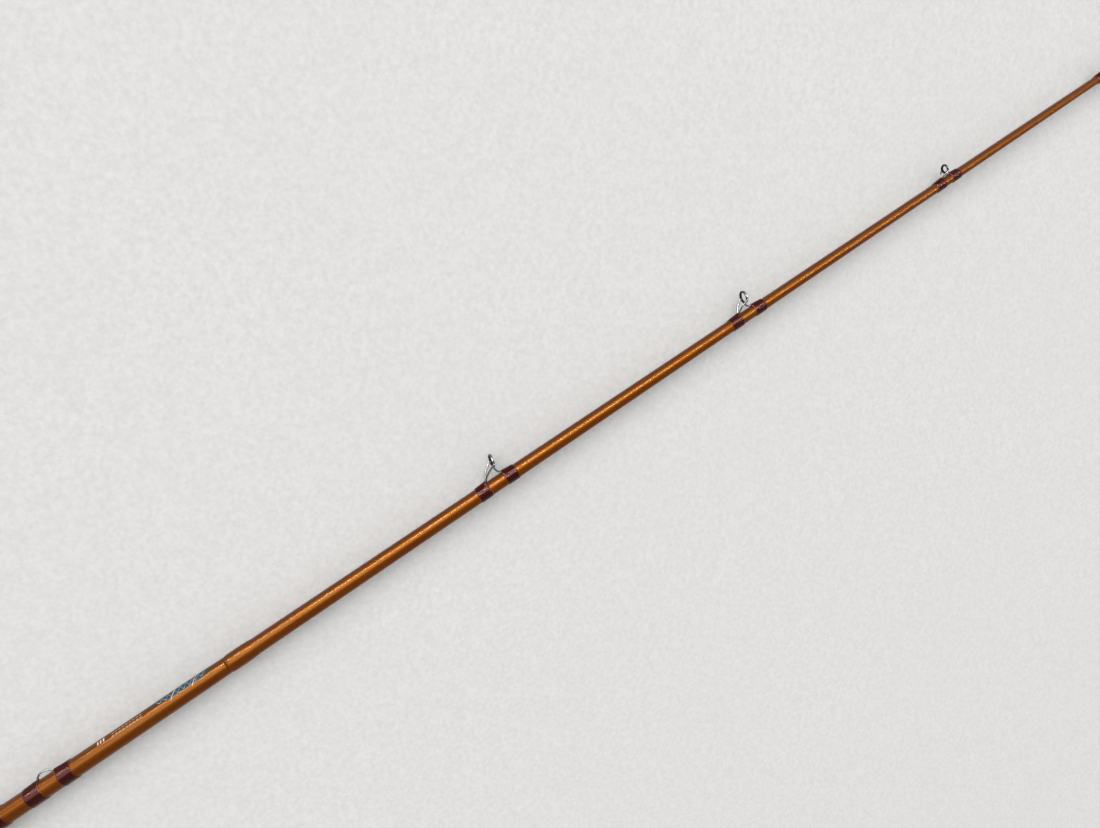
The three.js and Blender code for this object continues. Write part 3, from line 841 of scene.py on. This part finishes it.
def flat_foot(name, root, end, height, half_width):
    """A wire end hammered flat, feathered out towards its end."""
    points, faces = [], []
    sides = 12
    xs = stations(min(root, end), max(root, end), 0.8)
    for x in xs:
        t = (x - root) / (end - root)
        tall = height * (1 - FOOT_THINNING * t)
        wide = half_width * (1 - FOOT_NARROWING * t)
        base = blank_radius(x) - 0.05
        for j in range(sides):
            angle = TAU * j / sides
            points.append((x, base + tall * (0.5 + 0.5 * math.cos(angle)), wide * math.sin(angle)))
    for i in range(len(xs) - 1):
        for j in range(sides):
            k = (j + 1) % sides
            near, far = i * sides, (i + 1) * sides
            faces.append((near + j, near + k, far + k, far + j))
    faces.append(tuple(range(sides - 1, -1, -1)))
    faces.append(tuple((len(xs) - 1) * sides + j for j in range(sides)))
    return mesh_object(name, points, faces, STEEL)


def weld(at, radius):
    """A small bead of solder where wire meets hoop."""
    bead = bmesh.new()
    centre = Matrix.Translation(at * MM)
    bmesh.ops.create_icosphere(bead, subdivisions=2, radius=radius * MM, matrix=centre)
    mesh = bpy.data.meshes.new("bead")
    bead.to_mesh(mesh)
    bead.free()
    mesh.polygons.foreach_set("use_smooth", [True] * len(mesh.polygons))
    return new_object("bead", mesh)


def hoop_point(radius, angle, x, y, side):
    """A point of the leaning hoop; angle is from its lowest point."""
    drop = -radius * math.cos(angle)
    return Vector((
        x + drop * math.sin(RING_LEAN),
        y + drop * math.cos(RING_LEAN),
        side * radius * math.sin(angle),
    ))


def ring_and_hoop(name, node, body):
    """Makes a guide's black ring; returns its centre, and the radius and mesh of its hoop."""
    low, high = span(node)
    x, y = (low.x + high.x) / 2, (low.y + high.y) / 2
    outer = high.z / math.cos(math.pi / RING_FLATS) + 0.2
    bore = outer - RING_WALL
    side, shoulder, land = RING_HALF_WIDTH, RING_SHOULDER, RING_LAND
    section = [
        (-side, outer - 0.1), (-shoulder, outer + 0.02), (shoulder, outer + 0.02), (side, outer - 0.1),
        (shoulder, bore + 0.15), (land, bore), (-land, bore), (-shoulder, bore + 0.15),
    ]
    place(leaning_ring(name, eased(section, 0.3, 3), x, y, CERAMIC), body, "ceramic_black", node)
    rim, side, seat = outer + HOOP_WALL, HOOP_HALF_WIDTH, outer + 0.03
    section = [(-side, rim), (side, rim), (side, seat), (-side, seat)]
    return x, y, rim, leaning_ring(name + "_hoop", eased(section, 0.22), x, y, STEEL)


def line_guide(number, wire):
    """A guide with its two feet and the wraps that hold them, counted from the butt."""
    name = f"guide_{number}"
    x, y, rim, hoop = ring_and_hoop(f"{name}_black_ring", f"{name}_ring", "tip_section")
    foot_low, foot_high = span(f"{name}_frame")
    _, rear_wrap = span(f"{name}_wrap_butt")
    front_wrap, _ = span(f"{name}_wrap_tip")
    rear_root, tip_root = rear_wrap.x, front_wrap.x
    height, half_width = foot_size(wire)
    low = blank_radius(rear_root) + height - wire / 2
    grip = rim - HOOP_WALL * LEG_GRIP
    paths, welds = [], []
    for side in (-1, 1):
        top = hoop_point(grip, LEG_ANGLE, x, y, side)
        spread = side * wire * 0.3
        paths.append(smooth_path([
            (rear_root - 3, low, spread),
            (rear_root - 0.2, low, spread),
            (rear_root + (top.x - rear_root) * 0.32, low + (top.y - low) * 0.5, top.z * 0.55),
            top,
        ]))
        welds.append(weld(top, wire * WELD_SIZE))
    bottom = hoop_point(grip, 0, x, y, 1)
    paths.append(smooth_path([
        bottom,
        (bottom.x + (tip_root - bottom.x) * 0.18, low + (bottom.y - low) * 0.45, 0),
        (tip_root + 0.2, low, 0),
        (tip_root + 3, low, 0),
    ]))
    welds.append(weld(bottom, wire * WELD_SIZE))
    wires = bent_wires("legs", paths, wire)
    rear = flat_foot("rear_foot", rear_root + 0.3, foot_low.x, height, half_width)
    front = flat_foot("front_foot", tip_root - 0.3, foot_high.x, height, half_width)
    bright = joined(f"{name}_bright_frame", [wires, hoop, rear, front, *welds], STEEL)
    place(bright, "tip_section", "steel_bright", f"{name}_frame")
    rear_foot = (rear_root, foot_low.x, height, half_width)
    front_foot = (tip_root, foot_high.x, height, half_width)
    wrap(f"{name}_rear_binding", f"{name}_wrap_butt", "tip_section", rear_foot)
    wrap(f"{name}_front_binding", f"{name}_wrap_tip", "tip_section", front_foot)


def tip_top():
    """The tube over the rod's end, its ring on three wires, and the wrap behind it."""
    x, y, rim, hoop = ring_and_hoop("tip_top_black_ring", "tip_top_ring", "tip_section")
    low, _ = span("tip_top_frame")
    tube_start, tube_end = low.x, low.x + TIP_TUBE_LENGTH
    bore = blank_radius(tube_start) + 0.05
    outer = bore + TIP_TUBE_WALL
    outside = [(tube_start, bore), (tube_start, outer), (tube_end, outer), (tube_end, 0)]
    inside = [(tube_end - 0.7, 0), (tube_end - 0.7, bore)]
    tube = revolve("tube", eased(outside, 0.4, closed=False) + inside, STEEL, 48)
    grip = rim - HOOP_WALL * LEG_GRIP
    paths, welds = [], []
    for side in (-1, 1):
        top = hoop_point(grip, LEG_ANGLE, x, y, side)
        paths.append(smooth_path([
            (tube_start + 4, outer * 0.5, side * outer * 0.9),
            (tube_end - 4, outer * 0.6, side * outer * 0.95),
            (tube_end + (x - tube_end) * 0.2, y * 0.6, side * (outer + rim) * 0.52),
            top,
        ]))
        welds.append(weld(top, TIP_WELD))
    bottom = hoop_point(grip, 0, x, y, 1)
    paths.append(smooth_path([(tube_end - 2.4, 0.3, 0), (tube_end + 1.6, 0.5, 0), bottom]))
    welds.append(weld(bottom, TIP_WELD))
    wires = bent_wires("tip_legs", paths, TIP_WIRE)
    bright = joined("tip_top_bright_frame", [wires, hoop, tube, *welds], STEEL)
    place(bright, "tip_section", "steel_bright", "tip_top_frame")
    wrap("tip_top_binding", "tip_top_wrap", "tip_section")


def keeper():
    """The low wire arch ahead of the grip that a hook hangs on."""
    rear_low, rear_high = span("keeper_wrap_butt")
    front_low, _ = span("keeper_wrap_tip")
    rear, front = rear_high.x, front_low.x
    height, half_width = foot_size(KEEPER_WIRE)
    base = blank_radius(rear_low.x) + height - KEEPER_WIRE / 2
    low, high = span("hook_keeper")
    crest = high.y - KEEPER_WIRE / 2
    arch = smooth_path([
        (rear - 2, base, 0),
        (rear, base, 0),
        (rear + 3, base + (crest - base) * 0.8, 0),
        ((rear + front) / 2, crest, 0),
        (front - 3, base + (crest - base) * 0.8, 0),
        (front, base, 0),
        (front + 2, base, 0),
    ])
    wires = bent_wires("arch", [arch], KEEPER_WIRE)
    feet = [
        flat_foot("foot_a", rear + 0.3, low.x, height, half_width),
        flat_foot("foot_b", front - 0.3, high.x, height, half_width),
    ]
    place(joined("keeper_wire", [wires, *feet], STEEL), "handle", "steel_bright", "hook_keeper")
    wrap("keeper_rear_binding", "keeper_wrap_butt", "handle", (rear, low.x, height, half_width))
    wrap("keeper_front_binding", "keeper_wrap_tip", "handle", (front, high.x, height, half_width))


# ---- Handle ------------------------------------------------------------------------

# Outside radius of the two grips at stations along the rod.
REAR_CORK = (
    (6.3, 10), (21.8, 10), (22.3, 13.0), (50, 12.6), (100, 11.2), (150, 11.4), (176, 11.9), (179.7, 11.0),
)
FORE_CORK = ((300.3, 10.9), (304, 11.7), (325, 11.9), (352, 10.7), (376, 9.1), (384, 8.7), (387, 7.9))
CORK_BORE = 6.6
SEAM_DEPTH = 0.07
SEAM_REACH = 0.03
CORK_DENTS = 0.07

CAP_RADIUS = 13.5
CAP_BORE = 10.1
CAP_FLOOR = 6
RIB_COUNT = 4
RIB_START = 8
RIB_SPACING = 2.6
RIB_DEPTH = 0.45


def cork_grip(name, node, shape):
    """A grip of glued cork rings; shape gives (x, radius) of its outside."""
    low, high = span(node)

    def outside(x):
        r0, r1, t = rows_around(shape, x)
        t = max(0.0, min(1.0, t))
        t = t * t * (3 - 2 * t)
        seam = abs((x / CORK_RING) % 1 - 0.5)
        groove = SEAM_DEPTH * max(0.0, (seam - (0.5 - SEAM_REACH)) / SEAM_REACH)
        return r0 + (r1 - r0) * t - groove

    def dented(x, r, angle):
        if r <= CORK_BORE + 0.01:
            return r
        spot = Vector((x * 0.11, math.cos(angle) * 1.3, math.sin(angle) * 1.3))
        return r + CORK_DENTS * noise.noise(spot)

    outline = [(x, outside(x)) for x in stations(low.x, high.x, 0.6)]
    outline += [(high.x, CORK_BORE), (low.x, CORK_BORE)]
    place(revolve(name, outline, CORK, 96, dented), "handle", "cork", node)


def butt_cap():
    """A rubber cap with ribs round it and a small ring sunk in its flat end."""
    _, high = span("butt_cap")
    ribs = []
    for i in range(RIB_COUNT):
        x = RIB_START + RIB_SPACING * i
        deep = CAP_RADIUS - RIB_DEPTH
        ribs += [(x, CAP_RADIUS), (x + 0.35, deep), (x + 0.9, deep), (x + 1.25, CAP_RADIUS)]
    outline = [
        (0, 0), (0, 5.5), (0.35, 5.9), (0.35, 6.5), (0, 6.9),
        (0, CAP_RADIUS - 1.6), (0.7, CAP_RADIUS - 0.5), (2.2, CAP_RADIUS),
        *ribs,
        (high.x - 0.9, CAP_RADIUS), (high.x, CAP_RADIUS - 0.7),
        (high.x, CAP_BORE), (CAP_FLOOR, CAP_BORE), (CAP_FLOOR, 0),
    ]
    cap = revolve("ribbed_cap", eased(outline, 0.25, 3, closed=False), RUBBER, 120)
    place(cap, "handle", "rubber_black", "butt_cap")


def handle():
    butt_cap()
    cork_grip("rear_cork", "rear_grip", REAR_CORK)
    cork_grip("fore_cork", "foregrip", FORE_CORK)
    low, high = span("winding_check")
    bore = blank_radius(low.x) + 0.03
    collar = [(low.x, 8.0), (low.x + 1.3, 8.0), (high.x, 6.8), (high.x, bore), (low.x, bore)]
    piece = revolve("check_collar", eased(collar, 0.5), STEEL)
    place(piece, "handle", "steel_bright", "winding_check")
    wrap("fore_binding", "fore_wrap", "handle")


# ---- Reel seat ---------------------------------------------------------------------

# The barrel has a flat bed for the reel's foot, and a keyway along which the sliding hood
# moves without turning. One flat ends and the next begins within STEP.
BARREL = 9.5
BARREL_BORE = 7.05
KEYWAY = 8.0
KEYWAY_START = 192
BED = 8.3
BED_START, BED_END = 208, 248
STEP = 0.05
SCREW_START, SCREW_LENGTH = 254, 43
SCREW_ROOT = 9.05
SCREW_CREST = 0.45
SCREW_PITCH = 1.5

# A hood is a sleeve round the barrel with a cowl on its +Y side. The cowl is round about a
# line HOOD_OFFSET up +Y, and the pocket in its mouth takes a toe of the reel's foot.
HOOD_SLEEVE = 11.0
HOOD_OFFSET = 5.0
HOOD_BORE = 9.65
HOOD_LIP = 0.25
SHOULDER_BLEND = 0.35
POCKET = 9.6
POCKET_FLOOR = 7.3
POCKET_DEPTH = 15.0
POCKET_WALL = 1.5
POCKET_TAPER = 0.6
COWL_END = 5.0

# These stand in a hood's outline where a radius would, and say which skin a row is on.
OUTSIDE, INSIDE = 2.0, 1.0

NUT_RIM = 10.75
NUT_BAND = 1.1
NUT_BARS = 48
NUT_BAR_SIZE = 0.42


def barrel():
    """The seat's tube with its flats, and the screw on which the nuts turn."""
    low, high = span("seat_barrel")

    def flatted(x, r, angle):
        if r < KEYWAY or x <= KEYWAY_START:
            return r
        flat = BED if BED_START <= x <= BED_END else KEYWAY
        lift = math.cos(angle)
        return min(r, flat / lift) if lift > 0.1 else r

    screw_end = SCREW_START + SCREW_LENGTH
    full = [
        low.x, KEYWAY_START, KEYWAY_START + STEP, BED_START - STEP,
        BED_START, BED_END, BED_END + STEP, SCREW_START - 1,
    ]
    outline = [
        *[(x, BARREL) for x in full],
        (SCREW_START, SCREW_ROOT),
        (screw_end, SCREW_ROOT),
        (screw_end + 0.6, BARREL - 0.2),
        (high.x, BARREL - 0.2),
        (high.x, BARREL_BORE),
        (low.x, BARREL_BORE),
    ]
    tube = revolve("tube", outline, BLACK_ALLOY, 144, flatted, 25)
    seed = mesh_object("screw_seed", [(0, 0, 0)], [], BLACK_ALLOY)
    rib = grow(
        seed, SCREW, "screw", BLACK_ALLOY,
        Start=SCREW_START * MM, Length=SCREW_LENGTH * MM, Root=SCREW_ROOT * MM,
        Crest=SCREW_CREST * MM, Pitch=SCREW_PITCH * MM, Keyway=(KEYWAY - 0.02) * MM,
    )
    place(joined("threaded_barrel", [tube, rib], BLACK_ALLOY), "handle", "seat_black", "seat_barrel")


def ray_to_circle(radius, angle):
    """Distance from the rod's axis to a circle centred HOOD_OFFSET up +Y."""
    across = HOOD_OFFSET * math.sin(angle)
    return HOOD_OFFSET * math.cos(angle) + math.sqrt(max(0.0, radius ** 2 - across ** 2))


def hood(name, node, body, mouth_is_high):
    """One hood; its mouth faces the tip if mouth_is_high, and the butt if not."""
    low, high = span(node)
    length = high.x - low.x
    mouth = POCKET_DEPTH + POCKET_WALL

    def inwards(x):
        return high.x - x if mouth_is_high else x - low.x

    def cowl_radius(d):
        if d < mouth:
            return POCKET + POCKET_WALL - POCKET_TAPER * d / mouth
        t = min(1.0, max(0.0, (d - mouth) / (length - 1 - mouth)))
        return (POCKET + POCKET_WALL - POCKET_TAPER) * (1 - t * t) + COWL_END * t * t

    def outer(d, angle):
        gap = (ray_to_circle(cowl_radius(d), angle) - HOOD_SLEEVE) / SHOULDER_BLEND
        return HOOD_SLEEVE + SHOULDER_BLEND * (math.log1p(math.exp(-abs(gap))) + max(gap, 0.0))

    def inner(d, angle):
        if d > POCKET_DEPTH:
            return HOOD_BORE
        far = ray_to_circle(POCKET - POCKET_TAPER * d / POCKET_DEPTH, angle)
        if far * math.cos(angle) > POCKET_FLOOR and math.cos(angle) > 0:
            return max(HOOD_BORE, far)
        return HOOD_BORE

    def radius_at(x, skin, angle):
        edge = min(x - low.x, high.x - x)
        chamfer = HOOD_LIP * max(0.0, 1 - edge / HOOD_LIP)
        if skin == OUTSIDE:
            return outer(inwards(x), angle) - chamfer
        return inner(inwards(x), angle) + chamfer * 0.3

    xs = stations(low.x, high.x, 0.5)
    outline = [(x, OUTSIDE) for x in xs] + [(x, INSIDE) for x in reversed(xs)]
    place(revolve(name, outline, BLACK_ALLOY, 144, radius_at, 40), body, "seat_black", node)


def nut(name, node, body):
    """A round nut with a raised band at each end and grip bars between."""
    low, high = span(node)
    half = (
        (0, NUT_RIM - 0.3),
        (0.5, NUT_RIM + 0.35),
        (NUT_BAND, NUT_RIM + 0.35),
        (NUT_BAND + 0.3, NUT_RIM - 0.1),
    )
    outline = [(low.x + d, r) for d, r in half] + [(high.x - d, r) for d, r in reversed(half)]
    outline += [(high.x, HOOD_BORE), (low.x, HOOD_BORE)]
    ring = revolve(name + "_ring", eased(outline, 0.2, 3), BLACK_ALLOY)
    piece = grow(
        ring, KNURL, name, BLACK_ALLOY,
        Count=NUT_BARS, Rim=(NUT_RIM - 0.1) * MM, Middle=(low.x + high.x) / 2 * MM,
        Length=(high.x - low.x - 2 * NUT_BAND - 0.4) * MM, Bar=NUT_BAR_SIZE * MM,
    )
    place(piece, body, "seat_black", node)


def reel_seat():
    barrel()
    hood("fixed_cowl", "fixed_hood", "handle", True)
    hood("sliding_cowl", "moving_hood", "moving_hood", False)
    nut("knurled_nut", "adjusting_nut", "adjusting_nut")
    nut("knurled_lock_nut", "lock_nut", "lock_nut")
    for node in ("seat_bushing_rear", "seat_bushing_front"):
        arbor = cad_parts[node].data
        arbor.materials.clear()
        arbor.materials.append(FIBRE)


# ---- Transfers ---------------------------------------------------------------------

# Thickness of the pennant's film, and of the cream lines that lie on it or on the blank.
PENNANT_FILM = 0.03
LINE_FILM = 0.02
PENNANT_HALF = math.radians(34)
HAIRLINE = 3.2
WAVE_LENGTH = 4.1
SLASH_LENGTH = 4.2
SLASH_STARTS = (0.3, 0.66)
DASH_ROWS = (11, 29)
DASH_COUNT, DASH_START, DASH_SPACING, DASH_LENGTH = 9, 473, 2.3, 1.5
MARK_COUNT, MARK_START, MARK_SPACING, MARK_LENGTH = 3, 463.5, 1.9, 0.9


def shell_patch(points, faces, x0, x1, side_at, lift, thick, columns, step=0.5):
    """Adds a thin curved patch on the blank. side_at(x) gives its low and high angles."""
    xs = stations(x0, x1, step)
    base = len(points)
    width = columns + 1
    for layer in (lift + thick, lift):
        for x in xs:
            a, b = side_at(x)
            for j in range(width):
                angle = a + (b - a) * j / columns
                r = blank_radius(x) + layer
                points.append((x, r * math.cos(angle), r * math.sin(angle)))
    lower = base + len(xs) * width
    for i in range(len(xs) - 1):
        for j in range(columns):
            near, far = i * width + j, (i + 1) * width + j
            corners = (near, near + 1, far + 1, far)
            faces.append(tuple(base + c for c in corners))
            faces.append(tuple(lower + c for c in reversed(corners)))
    rim = [i * width for i in range(len(xs))]
    rim += [(len(xs) - 1) * width + j for j in range(1, width)]
    rim += [i * width + columns for i in range(len(xs) - 2, -1, -1)]
    rim += list(range(columns - 1, 0, -1))
    for a, b in zip(rim, rim[1:] + rim[:1]):
        faces.append((base + a, base + b, lower + b, lower + a))


def straight(low_degrees, high_degrees):
    """Sides for a patch that runs straight along the rod."""
    sides = math.radians(low_degrees), math.radians(high_degrees)
    return lambda x: sides


def transfers():
    """A plain pennant, and the cream wave, slashes, dashes and marks on and near it."""
    low, high = span("label_band")
    length = high.x - low.x

    def pennant(x):
        t = (x - low.x) / length
        slim = max(0.0, min(1.0, t / 0.3, (1 - t) / 0.16))
        half = PENNANT_HALF * (0.25 + 0.75 * slim)
        return -half, half

    def wave(x):
        t = (x - low.x) / length
        swing = math.radians(15 * math.sin(math.pi * t) ** 0.5)
        middle = math.radians(14) + swing * math.sin(TAU * (x - low.x) / WAVE_LENGTH)
        return middle - math.radians(HAIRLINE) / 2, middle + math.radians(HAIRLINE) / 2

    def slash_from(start):
        def slash(x):
            middle = math.radians(48 - 56 * (x - start) / SLASH_LENGTH)
            return middle - math.radians(4), middle + math.radians(4)
        return slash

    points, faces = [], []
    shell_patch(points, faces, low.x, high.x, pennant, PENNANT_FILM, PENNANT_FILM, 16)
    place(mesh_object("pennant_band", points, faces, BLUE_PRINT), "handle", "label_blue", "label_band")
    points, faces = [], []
    shell_patch(points, faces, low.x + 3, high.x - 4, wave, 0.065, LINE_FILM, 2, 0.2)
    for part in SLASH_STARTS:
        x = low.x + part * length
        shell_patch(points, faces, x, x + SLASH_LENGTH, slash_from(x), 0.09, LINE_FILM, 3, 0.25)
    for row in DASH_ROWS:
        sides = straight(row - HAIRLINE / 2, row + HAIRLINE / 2)
        for i in range(DASH_COUNT):
            x = DASH_START + i * DASH_SPACING
            shell_patch(points, faces, x, x + DASH_LENGTH, sides, LINE_FILM, LINE_FILM, 2)
    for i in range(MARK_COUNT):
        x = MARK_START + i * MARK_SPACING
        shell_patch(points, faces, x, x + MARK_LENGTH, straight(2, 26), LINE_FILM, LINE_FILM, 6)
    place(mesh_object("cream_hairlines", points, faces, CREAM_PRINT), "handle", "label_blue")


# ---- Everything in place -----------------------------------------------------------

camera()
studio()
table()
blank("butt_tube", BUTT_START, BUTT_END, True, "handle", "butt_blank")
blank("tip_tube", FERRULE_SEAM, TIP_END, False, "tip_section", "tip_blank")
ferrule()
handle()
reel_seat()
keeper()
transfers()
for number, wire in enumerate(GUIDE_WIRES, 1):
    line_guide(number, wire)
tip_top()
